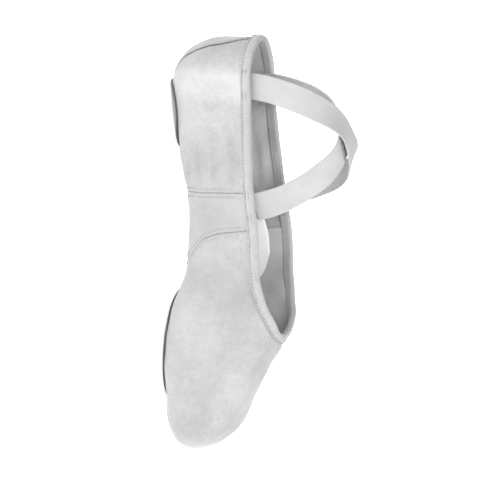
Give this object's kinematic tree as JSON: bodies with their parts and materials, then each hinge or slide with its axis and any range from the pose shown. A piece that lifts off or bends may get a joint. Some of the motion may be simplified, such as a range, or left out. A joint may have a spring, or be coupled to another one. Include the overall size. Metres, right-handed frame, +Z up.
{
  "type": "ballet slipper",
  "caption": "Soft split-sole ballet slipper with a bound foot opening, a stretch arch insert, crossed instep elastics and suede sole patches.",
  "frame": {"origin": "on the floor under the middle of the slipper, level with the flat bottoms of both sole patches", "axes": "-Y towards the toe, +Y towards the heel, +Z up out of the foot opening, -X to the wearer's right"},
  "size_m": [0.0752, 0.2391, 0.1091],
  "materials": {
    "outer_fabric": "matt tightly woven canvas with a faint sheen",
    "lining_fabric": "matt soft cotton",
    "tape": "matt woven tape",
    "suede": "napped suede",
    "insole_fabric": "brushed cotton over a thin foam",
    "stretch_fabric": "fine stretch knit",
    "arch_lining_fabric": "smooth soft knit",
    "binding_fabric": "folded bias tape",
    "cord": "round braided elastic",
    "thread": "spun thread",
    "elastic": "flat woven elastic with fine ribs"
  },
  "bodies": {
    "heel": {"right_quarter": "outer_fabric", "left_quarter": "outer_fabric", "right_quarter_lining": "lining_fabric", "left_quarter_lining": "lining_fabric", "back_seam_tape": "tape", "heel_sole_patch": "suede", "heel_insole": "insole_fabric", "arch_insert": "stretch_fabric", "arch_lining": "arch_lining_fabric", "topline_binding": "binding_fabric", "drawcord": "cord", "binding_thread": "thread", "rear_seam_threads": "thread", "elastic_bartacks": "thread"},
    "forefoot": {"vamp": "outer_fabric", "vamp_lining": "lining_fabric", "forefoot_sole_patch": "suede", "forefoot_insole": "insole_fabric", "front_seam_threads": "thread"},
    "elastics": {"outer_elastic": "elastic", "inner_elastic": "elastic"}
  },
  "joints": [
    {"name": "arch_flex", "type": "hinge", "parent": "heel", "child": "forefoot", "pos_m": [0, 0.011, 0.044], "axis": [1, 0, 0], "range_deg": [-15, 40], "stiffness_Nm_per_rad": 0.3, "deforming": ["arch_insert", "arch_lining", "topline_binding", "drawcord", "binding_thread", "front_seam_threads", "elastic_bartacks"]},
    {"name": "elastics_tip", "type": "hinge", "parent": "heel", "child": "elastics", "pos_m": [0, 0.0553, 0.056], "axis": [1, 0, 0], "range_deg": [-25, 25], "stiffness_Nm_per_rad": 0.02, "deforming": ["outer_elastic", "inner_elastic"]}
  ]
}
